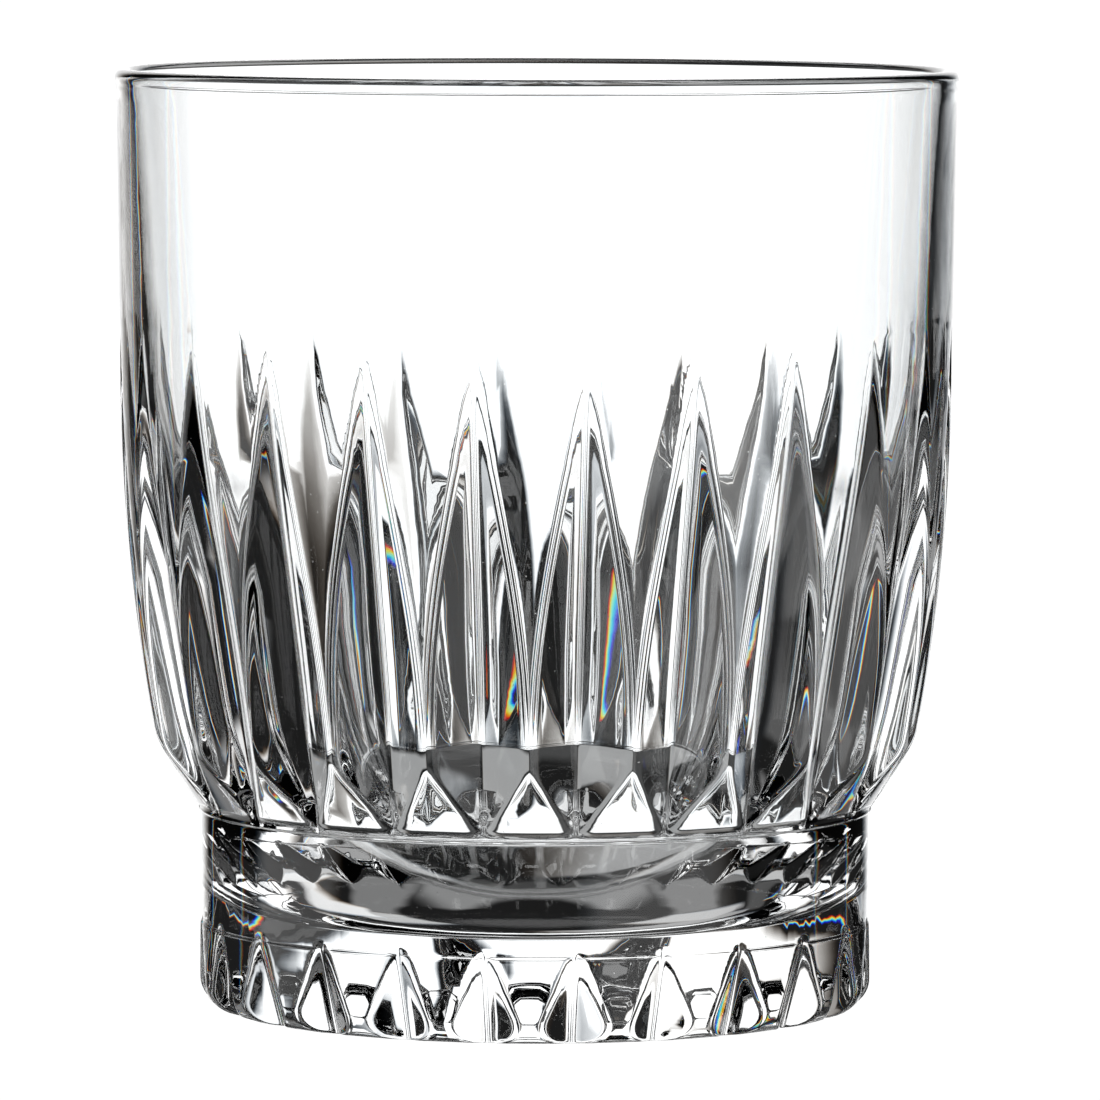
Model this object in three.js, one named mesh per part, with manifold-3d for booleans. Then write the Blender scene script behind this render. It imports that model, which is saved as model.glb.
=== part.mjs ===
// A pressed-glass whiskey tumbler: a round bowl with tall mitre cuts, on a thick cut foot.
// Millimetres, +Z up, origin at the middle of the circle that the foot stands on.

import * as THREE from 'three';
import { mergeVertices } from 'three/addons/utils/BufferGeometryUtils.js';
import Module from 'manifold-3d';

// Overall sizes
const height = 92;
const rimRadius = 41.2;
const kneeInset = 3.9;        // the knee, where the bowl turns in to the foot, is this far inside the rim
const kneeHeight = 26;
const kneeSoft = 1.2;         // the knee is rounded over this height above and below
const footInset = 4.45;       // the foot is this far inside the knee
const footHeight = 19.4;
const kneeRadius = rimRadius - kneeInset;
const footRadius = kneeRadius - footInset;

// The bowl's outside
const wallDraft = 0.014;      // how much the upper wall narrows per millimetre going down
const bellyHeight = 43;       // where the straight upper wall would meet the knee's slope
const beadReach = 0.16;       // the fire-polished bead stands this proud of the wall
const beadHeight = 1.6;
const collarStep = 0.3;       // the bowl's lower edge overhangs the foot by this much
const collarHeight = 0.5;

// The hollow, which goes down into the foot
const rimWall = 1.65;
const upperWall = 2.8;        // glass thickness level with the tips of the tall cuts
const cutWall = 2.4;          // glass left behind the valley of a tall cut
const shoulderDrop = 8;       // the inner wall bends inwards around this far below the tips
const floorThickness = 9.3;   // from the standing plane to the bowl's floor
const floorInset = 16.05;     // the floor's flat middle ends this far inside the foot's side
const floorFillet = 9;        // the round corner between the floor and the funnel above it
const floorSweep = 53;        // degrees that the corner turns through
const funnelRise = 11.2;      // how far above the foot's top the funnel starts
const floorRadius = footRadius - floorInset;

// The foot
const bandReach = 0.12;       // the cut band around the foot stands this proud
const bandTop = 8.4;
const footEdge = 2.5;         // radius of the foot's lower edge
const standingRing = 4.47;    // width of the flat ring that the tumbler stands on
const puntDepth = 2;          // the domed hollow inside that ring
const bandRadius = footRadius + bandReach;
const puntRadius = bandRadius - footEdge - standingRing;

// The cuts, which all share one V section
const cutCount = 24;
const cutHalfAngle = 57;      // degrees from the middle of the V to either facet
const tallCutTop = 62.4;      // the height of the tall cuts' tips
const footCutTop = 9;         // the height of the foot cuts' tips
const footCutDepth = 2.7;     // how deep a foot cut is at the standing plane

// Fineness
const turnSteps = 72;         // three for each cut
const curveSteps = 6;
const filletSteps = 4;
const edgeSteps = 3;

const wasm = await Module();
wasm.setup();

// A closed geometry as a manifold solid
function solidOf(geometry) {
  const bare = geometry.clone();
  bare.deleteAttribute('normal');
  bare.deleteAttribute('uv');
  const merged = mergeVertices(bare, 1e-4);
  return new wasm.Manifold(new wasm.Mesh({
    numProp: 3,
    vertProperties: new Float32Array(merged.attributes.position.array),
    triVerts: new Uint32Array(merged.index.array),
  }));
}

// A manifold solid as a flat-shaded geometry
function geometryOf(solid) {
  const mesh = solid.getMesh();
  const geometry = new THREE.BufferGeometry();
  geometry.setAttribute('position', new THREE.BufferAttribute(mesh.vertProperties, 3));
  geometry.setIndex(new THREE.BufferAttribute(mesh.triVerts, 1));
  const loose = geometry.toNonIndexed();
  loose.computeVertexNormals();
  return loose;
}

// A profile of (radius, height) points, turned about the vertical axis
function turned(profile) {
  const geometry = new THREE.LatheGeometry(profile, turnSteps);
  geometry.rotateX(Math.PI / 2);
  return solidOf(geometry);
}

function bend(from, corner, to, steps) {
  return new THREE.QuadraticBezierCurve(from, corner, to).getPoints(steps);
}

const at = (radius, level) => new THREE.Vector2(radius, level);
const wallAt = (level) => rimRadius - wallDraft * (height - level);

// The valley of a tall cut is a straight line from its tip down to the top of the foot
const valleySlope = (wallAt(tallCutTop) - footRadius) / (tallCutTop - footHeight);
const valleyAt = (level) => footRadius + valleySlope * (level - footHeight);

// The bowl's outside, as a solid from the foot's top up to the rim's round edge
function bowlProfile() {
  const lipHeight = height - rimWall / 2;
  const collar = at(footRadius + collarStep, footHeight + collarHeight);
  const knee = at(kneeRadius, kneeHeight);
  const bellySlope = (wallAt(bellyHeight) - kneeRadius) / (bellyHeight - kneeHeight);
  const kneeTop = at(kneeRadius + bellySlope * kneeSoft, kneeHeight + kneeSoft);
  const underSlope = (kneeRadius - collar.x) / (kneeHeight - collar.y);
  const kneeFoot = at(kneeRadius - underSlope * kneeSoft, kneeHeight - kneeSoft);
  const belly = at(wallAt(bellyHeight), bellyHeight);
  const tip = at(wallAt(tallCutTop), tallCutTop);
  const bead = at(rimRadius + beadReach, lipHeight);
  const rimMiddle = at(rimRadius - rimWall / 2, height);
  return [
    at(0, footHeight),
    at(footRadius, footHeight),
    collar,
    ...bend(kneeFoot, knee, kneeTop, edgeSteps),
    ...bend(kneeTop, belly, tip, curveSteps).slice(1),
    at(wallAt(height - beadHeight), height - beadHeight),
    ...bend(bead, at(bead.x, height), rimMiddle, edgeSteps),
    at(0, height),
  ];
}

// The hollow: from past the mouth, over the rim's inner edge, down the wall and the funnel to the floor
function hollowProfile() {
  const mouthOverrun = 2;
  const rimMiddle = at(rimRadius - rimWall / 2, height);
  const rimInner = at(rimRadius - rimWall, height - rimWall / 2);
  const innerTop = at(wallAt(tallCutTop) - upperWall, tallCutTop);
  const innerDraft = (rimInner.x - innerTop.x) / (height - tallCutTop);
  const shoulder = at(innerTop.x - innerDraft * shoulderDrop, tallCutTop - shoulderDrop);
  const innerMiddle = at(valleyAt(bellyHeight) - cutWall, bellyHeight);
  const funnelTop = at(valleyAt(footHeight + funnelRise) - cutWall, footHeight + funnelRise);
  const sweep = THREE.MathUtils.degToRad(floorSweep);
  const filletMiddle = at(floorRadius, floorThickness + floorFillet);
  const onFillet = (angle) => at(
    filletMiddle.x + floorFillet * Math.sin(angle),
    filletMiddle.y - floorFillet * Math.cos(angle),
  );
  const filletTop = onFillet(sweep);
  // the funnel's curve leaves the wall and meets the fillet along their own slopes
  const drop = ((funnelTop.y - filletTop.y) - (funnelTop.x - filletTop.x) * Math.tan(sweep))
    / (1 - valleySlope * Math.tan(sweep));
  const funnelMiddle = at(funnelTop.x - valleySlope * drop, funnelTop.y - drop);
  const fillet = [];
  for (let i = 1; i <= filletSteps; i += 1) {
    fillet.push(onFillet(sweep * (1 - i / filletSteps)));
  }
  return [
    at(0, floorThickness),
    ...fillet.reverse(),
    ...bend(funnelTop, funnelMiddle, filletTop, curveSteps).reverse(),
    ...bend(innerTop, shoulder, innerMiddle, curveSteps).reverse(),
    ...bend(rimMiddle, at(rimInner.x, height), rimInner, edgeSteps).reverse(),
    at(rimMiddle.x, height + mouthOverrun),
    at(0, height + mouthOverrun),
  ];
}

// The foot: a thick disc with a round lower edge and a domed hollow underneath
function footProfile() {
  const overlap = 0.8;
  const bandSoft = 0.3;
  return [
    ...bend(at(0, puntDepth), at(puntRadius / 2, puntDepth), at(puntRadius, 0), curveSteps),
    ...bend(at(bandRadius - footEdge, 0), at(bandRadius, 0), at(bandRadius, footEdge), edgeSteps),
    at(bandRadius, bandTop - bandSoft),
    at(footRadius, bandTop + bandSoft),
    at(footRadius, footHeight + overlap),
    at(0, footHeight + overlap),
  ];
}

// One V-shaped cutter whose valley runs straight from the tip to the toe, both (radius, height)
function cutter(tip, toe) {
  const halfAngle = THREE.MathUtils.degToRad(cutHalfAngle);
  const reach = 14;             // how far the cutter stands out past the valley
  const section = new THREE.Shape();
  section.moveTo(0, 0);
  section.lineTo(reach * Math.tan(halfAngle), reach);
  section.lineTo(-reach * Math.tan(halfAngle), reach);
  section.closePath();
  const along = new THREE.Vector2().subVectors(tip, toe);
  const overrun = 12;
  const geometry = new THREE.ExtrudeGeometry(section, {
    depth: along.length() + 2 * overrun,
    bevelEnabled: false,
  });
  geometry.translate(0, 0, -overrun);
  // the section's +Y becomes outward (+X), its +X becomes sideways, and its depth runs up the valley
  const outward = new THREE.Vector3(along.y, 0, -along.x).normalize();
  const upward = new THREE.Vector3(along.x, 0, along.y).normalize();
  const sideways = new THREE.Vector3().crossVectors(outward, upward);
  geometry.applyMatrix4(new THREE.Matrix4().makeBasis(sideways, outward, upward));
  geometry.translate(toe.x, 0, toe.y);
  return geometry;
}

// The same cutter at every cut's place around the glass
function ringOfCuts(tip, toe) {
  const pitch = 2 * Math.PI / cutCount;
  const one = cutter(tip, toe);
  const all = [];
  for (let i = 0; i < cutCount; i += 1) {
    const turnedCutter = one.clone();
    turnedCutter.rotateZ((i + 0.5) * pitch);
    all.push(solidOf(turnedCutter));
  }
  return all;
}

function cutAll(solid, cutters) {
  return cutters.reduce((rest, one) => rest.subtract(one), solid);
}

const tallCuts = ringOfCuts(at(wallAt(tallCutTop), tallCutTop), at(footRadius, footHeight));
const footCuts = ringOfCuts(at(footRadius, footCutTop), at(footRadius - footCutDepth, 0));
const bowl = cutAll(turned(bowlProfile()), tallCuts);
const foot = cutAll(turned(footProfile()), footCuts);

const glass = new THREE.MeshStandardMaterial({
  color: 0xf4f7f7,
  roughness: 0.02,
  metalness: 0,
  transparent: true,
  opacity: 0.35,
});
const tumbler = new THREE.Mesh(geometryOf(bowl.add(foot).subtract(turned(hollowProfile()))), glass);
tumbler.name = 'tumbler_glass';

const part = new THREE.Group();
part.add(tumbler);

export default part;
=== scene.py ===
import math
import bpy
import numpy as np
from mathutils import Matrix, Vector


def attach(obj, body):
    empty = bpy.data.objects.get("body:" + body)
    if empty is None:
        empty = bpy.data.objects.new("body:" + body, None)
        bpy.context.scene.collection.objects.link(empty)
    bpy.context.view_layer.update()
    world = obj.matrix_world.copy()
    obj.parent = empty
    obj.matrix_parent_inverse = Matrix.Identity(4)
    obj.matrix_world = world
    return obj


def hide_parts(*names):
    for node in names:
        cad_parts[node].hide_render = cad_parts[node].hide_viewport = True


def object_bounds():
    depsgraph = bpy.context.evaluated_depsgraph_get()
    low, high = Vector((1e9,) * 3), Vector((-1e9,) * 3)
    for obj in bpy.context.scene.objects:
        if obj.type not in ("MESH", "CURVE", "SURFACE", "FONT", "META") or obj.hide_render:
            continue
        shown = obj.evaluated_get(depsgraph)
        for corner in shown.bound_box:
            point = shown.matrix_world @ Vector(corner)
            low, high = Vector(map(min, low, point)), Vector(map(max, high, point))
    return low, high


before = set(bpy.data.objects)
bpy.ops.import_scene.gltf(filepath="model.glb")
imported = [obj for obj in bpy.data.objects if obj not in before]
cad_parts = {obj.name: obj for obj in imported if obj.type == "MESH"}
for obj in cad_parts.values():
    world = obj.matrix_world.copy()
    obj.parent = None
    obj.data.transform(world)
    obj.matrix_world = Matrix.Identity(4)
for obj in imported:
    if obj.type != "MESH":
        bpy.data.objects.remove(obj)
cadLow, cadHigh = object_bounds()
print("frame loaded, height %.1f mm" % (cadHigh.z * 1000))

mm = 0.001


def deselectAll():
    if bpy.context.mode != "OBJECT":
        bpy.ops.object.mode_set(mode="OBJECT")
    bpy.ops.object.select_all(action="DESELECT")
    bpy.context.view_layer.objects.active = None


# sizes in millimetres, as the maker would write them
glassSizes = {
    "height": cadHigh.z / mm,
    "rimRadius": 41.2,
    "rimWall": 1.65,
    "beadStart": 3.2,          # below the rim, where the wall starts to swell into the bead
    "beadTurn": 1.8,
    "beadReach": 0.15,
    "beadDrop": 0.2,
    "innerRimDrop": 0.3,
    "wallDraft": 0.014,
    "bellyHeight": 43.0,
    "kneeRadius": 37.3,
    "kneeHeight": 26.0,
    "kneeSoft": 1.2,
    "footRadius": 32.85,
    "footHeight": 19.4,
    "collarStep": 0.3,
    "collarHeight": 0.5,
    "neckSoft": 0.35,          # the round corner under the collar
    "neckStep": 0.12,
    "flare": 0.02,             # how far the collar and the bead lean out past a plain corner
    "upperWall": 2.8,
    "cutWall": 2.4,            # glass behind the valley of a tall cut
    "shoulderDrop": 8.0,
    "turnHeight": 31.8,        # where the inside starts to turn in to the floor
    "floorHeight": 8.9,
    "floorRadius": 16.8,
    "floorHub": 2.0,           # the innermost ring of points on the floor
    "floorFillet": 9.0,
    "floorSweep": 53.0,
    "footEdge": 2.5,
    "bandReach": 0.12,
    "bandTop": 8.4,
    "bandSoft": 0.5,
    "puntRadius": 26.0,
    "puntDepth": 0.8,
    "cutCount": 24,
    "cutHalfAngle": 57.0,
    "tallCutTop": 62.4,
    "footCutTop": 9.0,
    "footCutDepth": 2.7,
    "footCutClear": 0.6,       # from a foot cut's tip up to the next ring of points
    "valleyTip": 67.0,         # the valleys run out here, a little above the tips that show
    "tipClear": 0.5,           # from there up to the next ring of points
    "valleyLift": 0.42,        # a valley is this much shallower, two thirds of the way up from liftFrom
    "liftFrom": 32.0,
    "edgeSoft": 0.55,
    "tipSoft": 0.34,
    "valleySoft": 0.3,
}

# how the points gather along the cuts, in millimetres and columns
cutPoints = {
    "perHalfCut": 12,
    "knots": [0, 3, 5, 10, 12],   # valley, beside it, before the edge, past the edge, ridge
    "beside": 0.45,
    "edgeBand": 0.55,
    "ridgeGap": 0.1,
    "edgeFromValley": 1.8,
    "edgeFromRidge": 0.675,
    "reach": 1.5,              # points further inside than this are left alone
    "fadeHeight": 10.0,        # above the tips
    "underFade": 3.0,          # under the foot
}


def wallAt(s, z):
    return s["rimRadius"] - s["wallDraft"] * (s["height"] - z)


def onWall(s, z):
    return (wallAt(s, z), z)


def valleySlope(s):
    return (wallAt(s, s["valleyTip"]) - s["footRadius"] - s["collarStep"]) \
        / (s["valleyTip"] - s["footHeight"] - s["collarHeight"])


def valleyAt(s, z):
    return wallAt(s, s["valleyTip"]) + valleySlope(s) * (z - s["valleyTip"])


def line(a, b, steps):
    return [tuple(a[k] + (b[k] - a[k]) * i / steps for k in (0, 1)) for i in range(steps)]


def bend(a, c, b, steps):
    out = []
    for i in range(steps):
        t = i / steps
        out.append(tuple((1 - t) ** 2 * a[k] + 2 * t * (1 - t) * c[k] + t * t * b[k] for k in (0, 1)))
    return out


def arc(centre, radius, start, end, steps):
    out = []
    for i in range(steps):
        t = math.radians(start + (end - start) * i / steps)
        out.append((centre[0] + radius * math.cos(t), centre[1] + radius * math.sin(t)))
    return out


# the section's outline as (radius, height), from under the foot, up the outside and down the inside
def glassProfile(s):
    top = s["height"]
    foot = s["footRadius"]
    footTop = s["footHeight"]
    slope = valleySlope(s)

    # outside
    bandRadius = foot + s["bandReach"]
    bandMiddle = (bandRadius + foot) / 2
    bandLow = s["bandTop"] - s["bandSoft"]
    bandHigh = s["bandTop"] + s["bandSoft"]
    footBottom = (bandRadius - s["footEdge"], s["footEdge"])
    clear = s["footCutTop"] + s["footCutClear"]
    neck = (foot, footTop - s["neckSoft"])
    neckOut = (foot + s["neckStep"], footTop)
    collar = (foot + s["collarStep"], footTop + s["collarHeight"])
    knee = (s["kneeRadius"], s["kneeHeight"])
    belly = onWall(s, s["bellyHeight"])
    bellySlope = (belly[0] - knee[0]) / (belly[1] - knee[1])
    kneeTop = (knee[0] + bellySlope * s["kneeSoft"], knee[1] + s["kneeSoft"])
    underSlope = (knee[0] - collar[0]) / (knee[1] - collar[1])
    kneeFoot = (knee[0] - underSlope * s["kneeSoft"], knee[1] - s["kneeSoft"])
    tip = onWall(s, s["tallCutTop"])
    aboveTip = onWall(s, s["valleyTip"] + s["tipClear"])

    # rim
    lip = top - s["rimWall"] / 2
    rimMiddle = (s["rimRadius"] - s["rimWall"] / 2, top)
    beadStart = onWall(s, top - s["beadStart"])
    beadTurn = (wallAt(s, top - s["beadTurn"]) + s["flare"], top - s["beadTurn"])
    bead = (s["rimRadius"] + s["beadReach"], lip - s["beadDrop"])
    innerRim = (s["rimRadius"] - s["rimWall"], lip - s["innerRimDrop"])

    # inside
    innerTop = (tip[0] - s["upperWall"], tip[1])
    innerDraft = (innerRim[0] - innerTop[0]) / (top - s["tallCutTop"])
    drop = s["shoulderDrop"]
    innerCorner = (innerTop[0] - innerDraft * drop, innerTop[1] - drop)
    innerMiddle = (valleyAt(s, s["bellyHeight"]) - s["cutWall"], s["bellyHeight"])
    innerTurn = (valleyAt(s, s["turnHeight"]) - s["cutWall"], s["turnHeight"])
    sweep = math.radians(s["floorSweep"])
    filletMiddle = (s["floorRadius"], s["floorHeight"] + s["floorFillet"])
    filletTop = (filletMiddle[0] + s["floorFillet"] * math.sin(sweep),
                 filletMiddle[1] - s["floorFillet"] * math.cos(sweep))
    # the curve between them leaves the wall and meets the fillet along their own slopes
    fall = ((innerTurn[1] - filletTop[1]) - (innerTurn[0] - filletTop[0]) * math.tan(sweep)) \
        / (1 - slope * math.tan(sweep))
    innerToe = (innerTurn[0] - slope * fall, innerTurn[1] - fall)
    floorEdge = (s["floorRadius"], s["floorHeight"])
    punt = s["puntRadius"]
    dip = s["puntDepth"]

    points = bend((0.0, dip), (punt / 2, dip), (punt, 0.0), steps=7)
    points += line((punt, 0.0), (footBottom[0], 0.0), steps=3)
    points += arc(footBottom, s["footEdge"], -90, 0, steps=9)
    points += line((bandRadius, s["footEdge"]), (bandRadius, bandLow), steps=8)
    points += bend((bandRadius, bandLow), (bandRadius, s["bandTop"]), (bandMiddle, s["bandTop"]), steps=3)
    points += bend((bandMiddle, s["bandTop"]), (foot, s["bandTop"]), (foot, bandHigh), steps=3)
    points += line((foot, bandHigh), (foot, clear), steps=3)
    points += line((foot, clear), neck, steps=3)
    points += bend(neck, (foot, footTop), neckOut, steps=3)
    points += bend(neckOut, (collar[0] + s["flare"], footTop), collar, steps=4)
    points += line(collar, kneeFoot, steps=7)
    points += bend(kneeFoot, knee, kneeTop, steps=8)
    points += bend(kneeTop, belly, tip, steps=34)
    points += line(tip, aboveTip, steps=9)
    points += line(aboveTip, beadStart, steps=4)
    points += bend(beadStart, beadTurn, bead, steps=5)
    points += bend(bead, (bead[0], top), rimMiddle, steps=7)
    points += bend(rimMiddle, (innerRim[0], top), innerRim, steps=7)
    points += line(innerRim, innerTop, steps=4)
    points += bend(innerTop, innerCorner, innerMiddle, steps=8)
    points += line(innerMiddle, innerTurn, steps=4)
    points += bend(innerTurn, innerToe, filletTop, steps=9)
    points += arc(filletMiddle, s["floorFillet"], s["floorSweep"] - 90, -90, steps=8)
    points += line(floorEdge, (s["floorHub"], s["floorHeight"]), steps=5)
    points += [(0.0, s["floorHeight"])]
    return points


# the smaller of two values, with a rounded change from one to the other
def smoothLess(a, b, soft):
    near = np.clip(soft - np.abs(a - b), 0, None) / soft
    return np.minimum(a, b) - near * near * soft / 4


# moves the points of the plain turned glass to where the cuts are
def pressCuts(obj, s, columns):
    me = obj.data
    co = np.empty(len(me.vertices) * 3)
    me.vertices.foreach_get("co", co)
    co = co.reshape(-1, 3) / mm
    r = np.hypot(co[:, 0], co[:, 1])
    z = co[:, 2]
    angle = np.arctan2(co[:, 1], co[:, 0])
    pitch = 2 * math.pi / s["cutCount"]
    half = pitch / 2
    middle = np.floor(angle / pitch) * pitch + half
    side = angle - middle
    sign = np.where(side < 0, -1.0, 1.0)
    share = np.abs(side) / half

    # where the valleys lie, level by level
    lean = 1 / (math.tan(math.radians(s["cutHalfAngle"])) * math.cos(math.atan(valleySlope(s))))
    slack = 0.01               # so that the ring at the foot's top counts as bowl
    tall = z > s["footHeight"] - slack
    footValley = s["footRadius"] - s["footCutDepth"] * (s["footCutTop"] - z) / s["footCutTop"]
    rise = np.clip((z - s["liftFrom"]) / (s["valleyTip"] - s["liftFrom"]), 0, 1)
    lift = s["valleyLift"] * 27 / 4 * rise * rise * (1 - rise)
    valley = np.where(tall, valleyAt(s, z) + lift, footValley)

    # columns follow the cuts' edges
    radius = np.maximum(r, 1)
    ratio = np.minimum(valley / radius, 1.0)
    edge = np.arccos(ratio / math.sqrt(1 + lean * lean)) - math.atan(lean)
    edge = np.clip(edge, columns["edgeFromValley"] / radius, half - columns["edgeFromRidge"] / radius)
    band = np.minimum(columns["edgeBand"] / radius, half - edge - columns["ridgeGap"] / radius)
    beside = columns["beside"] / radius
    knots = np.array(columns["knots"]) / columns["perHalfCut"]
    stops = [np.zeros_like(edge), beside, edge - band, edge + band, np.full_like(edge, half)]
    warped = np.zeros_like(share)
    hair = 1e-9
    for i in range(len(knots) - 1):
        inside = (share >= knots[i] - hair) & (share <= knots[i + 1] + hair)
        t = (share - knots[i]) / (knots[i + 1] - knots[i])
        warped = np.where(inside, stops[i] + (stops[i + 1] - stops[i]) * t, warped)

    # and go back to even spacing away from the cuts
    fadeTop = np.clip((s["tallCutTop"] + columns["fadeHeight"] - z) / columns["fadeHeight"], 0, 1)
    underFoot = s["footRadius"] - s["footEdge"] - columns["underFade"]
    fadeUnder = np.where(z < s["footEdge"], np.clip((r - underFoot) / columns["underFade"], 0, 1), 1.0)
    outer = np.where(r > valley - columns["reach"], 1.0, 0.0)
    fade = fadeTop * fadeUnder * outer
    phi = (share * half) * (1 - fade) + warped * fade

    # press in, with a soft valley and soft edges
    meanRadius = 36            # turns the valley's softness into an angle
    bent = np.sqrt(np.sin(phi) ** 2 + (s["valleySoft"] / meanRadius) ** 2)
    plain = (z < s["footHeight"]) & (z > s["footCutTop"])
    cut = np.where(plain, np.inf, valley / (np.cos(phi) - lean * bent))
    soft = s["edgeSoft"] + (s["tipSoft"] - s["edgeSoft"]) * rise * rise
    pressed = smoothLess(r, cut, soft)
    newAngle = middle + sign * phi
    co[:, 0] = pressed * np.cos(newAngle)
    co[:, 1] = pressed * np.sin(newAngle)
    me.vertices.foreach_set("co", (co * mm).ravel())
    me.update()


def makeTumbler(s, columns):
    profile = glassProfile(s)
    deselectAll()
    bpy.ops.mesh.primitive_plane_add(size=0.001, location=(0, 0, 0))
    obj = bpy.context.object
    obj.name = "tumbler"
    bpy.ops.object.mode_set(mode="EDIT")
    bpy.ops.mesh.select_all(action="SELECT")
    bpy.ops.mesh.merge(type="CENTER")
    bpy.ops.transform.translate(value=(profile[0][0] * mm, 0, profile[0][1] * mm))
    for (r0, z0), (r1, z1) in zip(profile, profile[1:]):
        step = ((r1 - r0) * mm, 0, (z1 - z0) * mm)
        bpy.ops.mesh.extrude_region_move(TRANSFORM_OT_translate={"value": step})
    bpy.ops.mesh.select_all(action="SELECT")
    steps = s["cutCount"] * 2 * columns["perHalfCut"]
    bpy.ops.mesh.spin(steps=steps, angle=2 * math.pi, center=(0, 0, 0), axis=(0, 0, 1))
    bpy.ops.mesh.select_all(action="SELECT")
    bpy.ops.mesh.remove_doubles(threshold=1e-6)
    bpy.ops.mesh.normals_make_consistent(inside=False)
    bpy.ops.object.mode_set(mode="OBJECT")
    pressCuts(obj, s, columns)
    bpy.ops.object.shade_smooth()
    print("tumbler:", len(obj.data.vertices), "points,", len(obj.data.polygons), "faces")
    return obj


glassLook = {
    "ior": 1.52,
    "waveScale": 260.0,        # ripples about 4 mm long, left by the mould
    "waveDetail": 1.5,
    "waveHeight": 0.000006,
    "footWave": 1.8,           # the thick foot chills last and ripples more
    "footTop": 0.0205,
    "footBlend": 0.003,
    "seedScale": 900.0,
    "seedSize": 0.05,
    "patchScale": 65.0,        # patches about 15 mm across, for the polish and the tint
    "patchEnds": (0.4, 0.75),
    "polish": (0.0, 0.012),    # least and most roughness, in soft patches
    "tintEnds": (0.25, 0.6),
    "deepTint": (0.965, 0.985, 0.99, 1),
    "clearTint": (0.992, 0.998, 1.0, 1),
}


def clearGlass(look):
    mat = bpy.data.materials.new("clearGlass")
    mat.use_nodes = True
    nt = mat.node_tree
    new = nt.nodes.new
    link = nt.links.new
    shader = nt.nodes["Principled BSDF"]
    shader.inputs["Transmission Weight"].default_value = 1.0
    shader.inputs["IOR"].default_value = look["ior"]
    place = new("ShaderNodeTexCoord").outputs["Object"]
    # slow ripples, stronger in the foot
    wave = new("ShaderNodeTexNoise")
    wave.inputs["Scale"].default_value = look["waveScale"]
    wave.inputs["Detail"].default_value = look["waveDetail"]
    link(place, wave.inputs["Vector"])
    split = new("ShaderNodeSeparateXYZ")
    link(place, split.inputs[0])
    inFoot = new("ShaderNodeMapRange")
    inFoot.interpolation_type = "SMOOTHSTEP"
    inFoot.inputs["From Min"].default_value = look["footTop"] + look["footBlend"]
    inFoot.inputs["From Max"].default_value = look["footTop"] - look["footBlend"]
    inFoot.inputs["To Min"].default_value = 1.0
    inFoot.inputs["To Max"].default_value = look["footWave"]
    link(split.outputs["Z"], inFoot.inputs["Value"])
    height = new("ShaderNodeMath")
    height.operation = "MULTIPLY"
    link(wave.outputs[0], height.inputs[0])
    link(inFoot.outputs[0], height.inputs[1])
    ripple = new("ShaderNodeBump")
    ripple.inputs["Strength"].default_value = 1.0
    ripple.inputs["Distance"].default_value = look["waveHeight"]
    link(height.outputs[0], ripple.inputs["Height"])
    # seeds: tiny pits about a millimetre apart
    seed = new("ShaderNodeTexVoronoi")
    seed.inputs["Scale"].default_value = look["seedScale"]
    link(place, seed.inputs["Vector"])
    pit = new("ShaderNodeMapRange")
    pit.inputs["From Min"].default_value = 0.0
    pit.inputs["From Max"].default_value = look["seedSize"]
    link(seed.outputs["Distance"], pit.inputs["Value"])
    pits = new("ShaderNodeBump")
    pits.inputs["Strength"].default_value = 1.0
    pits.inputs["Distance"].default_value = look["waveHeight"]
    link(pit.outputs[0], pits.inputs["Height"])
    link(ripple.outputs[0], pits.inputs["Normal"])
    link(pits.outputs[0], shader.inputs["Normal"])
    # fire polish that isn't quite even, and a trace of colour in the glass
    patch = new("ShaderNodeTexNoise")
    patch.inputs["Scale"].default_value = look["patchScale"]
    link(place, patch.inputs["Vector"])
    polish = new("ShaderNodeMapRange")
    polish.inputs["From Min"].default_value = look["patchEnds"][0]
    polish.inputs["From Max"].default_value = look["patchEnds"][1]
    polish.inputs["To Min"].default_value = look["polish"][0]
    polish.inputs["To Max"].default_value = look["polish"][1]
    link(patch.outputs[0], polish.inputs["Value"])
    link(polish.outputs[0], shader.inputs["Roughness"])
    tint = new("ShaderNodeValToRGB")
    deep, clear = tint.color_ramp.elements
    deep.color = look["deepTint"]
    clear.color = look["clearTint"]
    deep.position, clear.position = look["tintEnds"]
    link(patch.outputs[0], tint.inputs[0])
    link(tint.outputs[0], shader.inputs["Base Color"])
    return mat


tumbler = makeTumbler(glassSizes, cutPoints)
tumbler.data.materials.append(clearGlass(glassLook))
print("glass:", tumbler.data.materials[0].name)
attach(tumbler, "root")
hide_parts("tumbler_glass")


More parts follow.
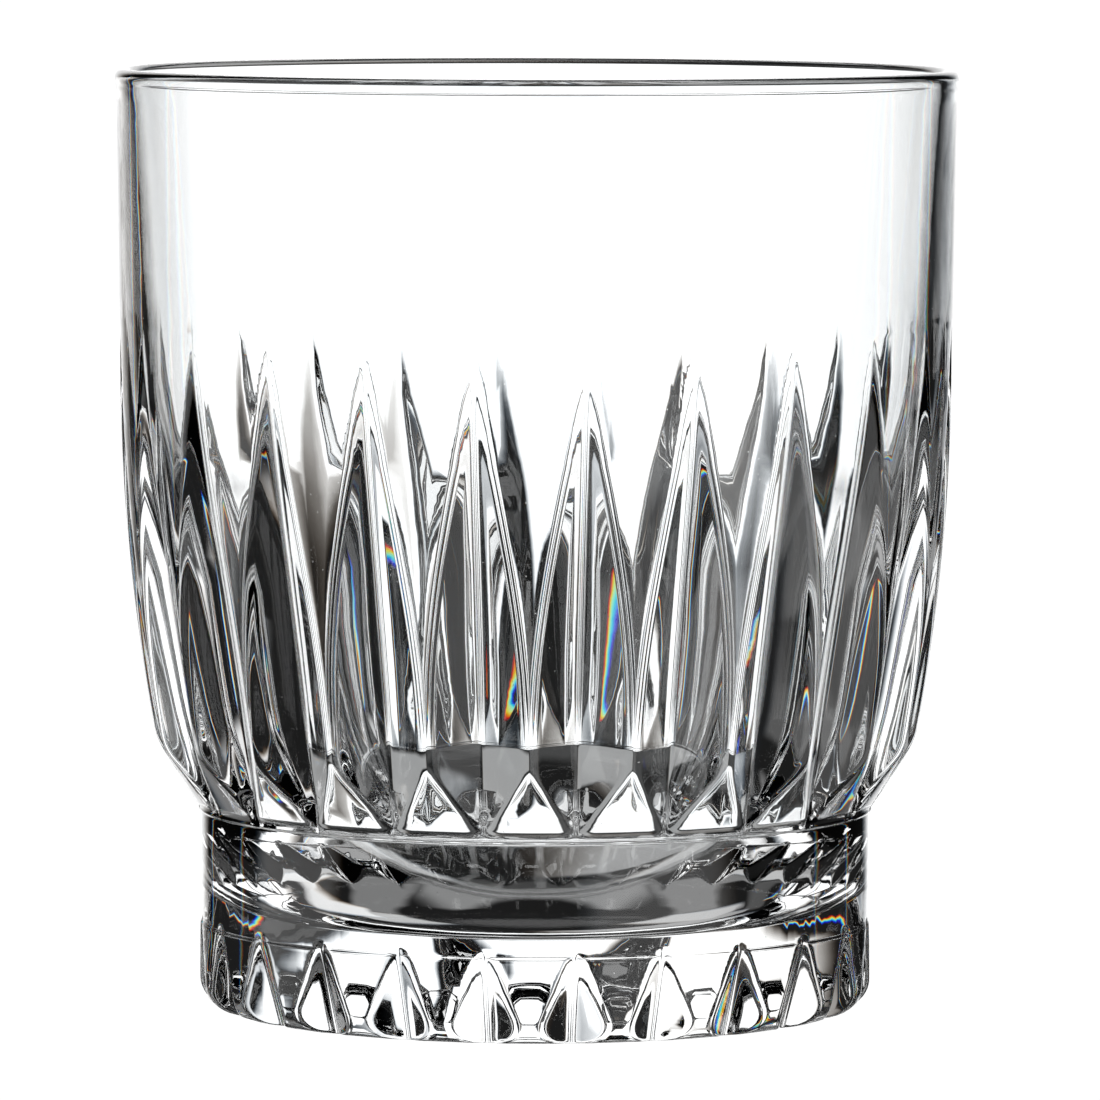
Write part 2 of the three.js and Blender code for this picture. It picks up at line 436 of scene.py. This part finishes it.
# the studio: a pale table, a white sheet behind, a soft box overhead, dark at both sides; through the
# glass the table is painted into the sky as painted light and painted shade
studio = {
    "tableRadius": 4.0,
    "tableDrop": 0.0001,
    "tablePale": 0.85,
    "tableRough": 0.6,
    "seenWhite": 1.05,
    "dark": 0.012,
    # azimuth, half width, softness, lowest, highest elevation, edge softness, strength, colour spread (a
    # painted rainbow fringe)
    "panels": [
        (-2, 20, 7, -17, 30, 2, 1.35, 0.15),       # white sheet behind the glass
        (-90, 18, 4, -12, 22, 3, 1.1, 0.2),        # the same for a view from the right
        (135, 24, 6, -34, 24, 3, 1.2, 0.2),        # and for one from behind
        (-45, 14, 4, -46, -20, 3, 0.9, 0.2),       # and, low, for one from the right and above
        # painted light and painted shade: the table as rays through the glass see it, lit on the right
        # and near the foot, shaded on the left, since the table itself is hidden from them; below these
        # panels the sky stays dark, a painted shadow under the foot
        (17, 16, 3, -37, -22.5, 1, 0.4, 0.1),      # table beyond the glass, right half
        (-20, 16, 4, -27, -17, 2, 0.06, 0.1),      # and the left half, in shade
        (60, 30, 4, -27, -16, 2, 0.09, 0.1),       # and further to the right
        (35, 15, 4, -54, -30, 2, 0.55, 0.1),       # table close to the foot
        (-35, 15, 4, -54, -36, 2, 0.55, 0.1),
        (84, 34, 6, -54, -39, 2, 0.2, 0.1),
        (-84, 34, 6, -54, -39, 2, 0.2, 0.1),
        (180, 76, 12, -69, -54, 2, 0.25, 0),       # table in front
        (0, 400, 1, 62, 200, 10, 1.6, 0),          # soft box overhead
        # the thin strips' colours are pulled apart into painted rainbow glints along the cuts
        (-60, 0.7, 0.5, -18, 10, 3, 0.8, 0.5),     # thin bright strips, which draw lines along the cuts
        (-33, 0.5, 0.4, -18, 10, 3, 0.8, 0.5),
        (43, 0.6, 0.5, -18, 10, 3, 0.8, 0.6),
        (66, 0.7, 0.5, -18, 10, 3, 0.8, 0.5),
    ],
}


def makeTable(look):
    deselectAll()
    bpy.ops.mesh.primitive_circle_add(vertices=96, radius=look["tableRadius"], fill_type="NGON")
    table = bpy.context.object
    table.name = "paleTable"
    table.data.transform(Matrix.Translation((0, 0, -look["tableDrop"])))
    mat = bpy.data.materials.new("paleTable")
    mat.use_nodes = True
    nt = mat.node_tree
    shader = nt.nodes["Principled BSDF"]
    shader.inputs["Base Color"].default_value = (look["tablePale"],) * 3 + (1,)
    shader.inputs["Roughness"].default_value = look["tableRough"]
    white = nt.nodes.new("ShaderNodeEmission")
    white.inputs["Strength"].default_value = look["seenWhite"]
    path = nt.nodes.new("ShaderNodeLightPath")
    mix = nt.nodes.new("ShaderNodeMixShader")
    nt.links.new(path.outputs["Is Camera Ray"], mix.inputs[0])
    nt.links.new(shader.outputs[0], mix.inputs[1])
    nt.links.new(white.outputs[0], mix.inputs[2])
    nt.links.new(mix.outputs[0], nt.nodes["Material Output"].inputs["Surface"])
    table.data.materials.append(mat)
    table.visible_transmission = False
    table.visible_glossy = False


def makeWorld(look):
    world = bpy.data.worlds.new("studio")
    bpy.context.scene.world = world
    world.use_nodes = True
    nt = world.node_tree
    nt.nodes.clear()
    new = nt.nodes.new
    link = nt.links.new

    def calc(operation, *values):
        node = new("ShaderNodeMath")
        node.operation = operation
        for value, socket in zip(values, node.inputs):
            if isinstance(value, (int, float)):
                socket.default_value = value
            else:
                link(value, socket)
        return node.outputs[0]

    def fade(value, start, end):
        ramp = new("ShaderNodeMapRange")
        ramp.interpolation_type = "SMOOTHSTEP"
        ramp.inputs["From Min"].default_value = math.radians(start)
        ramp.inputs["From Max"].default_value = math.radians(end)
        link(value, ramp.inputs["Value"])
        return ramp.outputs[0]

    coord = new("ShaderNodeTexCoord")
    split = new("ShaderNodeSeparateXYZ")
    link(coord.outputs["Generated"], split.inputs[0])
    elevation = calc("ARCSINE", split.outputs[2])
    heading = calc("ARCTAN2", split.outputs[0], split.outputs[1])
    heights = []
    for _, _, _, lowest, highest, edge, _, _ in look["panels"]:
        above = fade(elevation, lowest - edge, lowest + edge)
        below = fade(elevation, highest + edge, highest - edge)
        heights.append(calc("MULTIPLY", above, below))
    colour = new("ShaderNodeCombineColor")
    # each colour sees the panels a little to one side: painted rainbow fringes in the light, standing in
    # for the colours that glass spreads apart
    for channel in range(3):
        total = None
        for (azimuth, halfWidth, soft, _, _, _, strength, paintedFringe), height in zip(look["panels"], heights):
            middle = math.radians(azimuth + paintedFringe * (channel - 1))
            away = calc("PINGPONG", calc("SUBTRACT", heading, middle), math.pi)
            mask = calc("MULTIPLY", fade(away, halfWidth + soft, halfWidth - soft), height)
            mask = calc("MULTIPLY", mask, strength)
            total = mask if total is None else calc("MAXIMUM", total, mask)
        link(calc("ADD", total, look["dark"]), colour.inputs[channel])
    path = new("ShaderNodeLightPath")
    mix = new("ShaderNodeMix")
    mix.data_type = "RGBA"
    link(path.outputs["Is Camera Ray"], mix.inputs["Factor"])
    unseen, seen = mix.inputs[6], mix.inputs[7]    # the two colours that it mixes
    link(colour.outputs[0], unseen)
    seen.default_value = (look["seenWhite"],) * 3 + (1,)
    back = new("ShaderNodeBackground")
    link(mix.outputs[2], back.inputs["Color"])
    out = new("ShaderNodeOutputWorld")
    link(back.outputs[0], out.inputs["Surface"])


makeTable(studio)
makeWorld(studio)
print("studio: a table and", len(studio["panels"]), "panels of light")

# where the camera stands, in millimetres and degrees, and its lens in millimetres
cameraView = {
    "distance": 889.7,
    "height": 115.4,
    "azimuth": 0.85,
    "pitch": 4.54,
    "yaw": 0.09,
    "roll": 0.14,
    "lens": 297.4,
}


def makeCamera(v):
    camData = bpy.data.cameras.new("camera")
    camData.lens = v["lens"]
    camData.sensor_width = 36
    camData.clip_start = 0.05
    camData.clip_end = 20
    cam = bpy.data.objects.new("camera", camData)
    bpy.context.scene.collection.objects.link(cam)
    a = math.radians(v["azimuth"])
    cam.location = (v["distance"] * mm * math.sin(a), -v["distance"] * mm * math.cos(a), v["height"] * mm)
    turn = Matrix.Rotation(a - math.radians(v["yaw"]), 4, "Z")
    tilt = Matrix.Rotation(math.radians(90 - v["pitch"]), 4, "X")
    roll = Matrix.Rotation(math.radians(v["roll"]), 4, "Z")
    cam.rotation_euler = (turn @ tilt @ roll).to_euler()
    bpy.context.scene.camera = cam


makeCamera(cameraView)
print("camera: %.0f mm from the glass" % cameraView["distance"])
scene = bpy.context.scene
scene.view_settings.view_transform = "Standard"
scene.cycles.max_bounces = 32
scene.cycles.transmission_bounces = 32
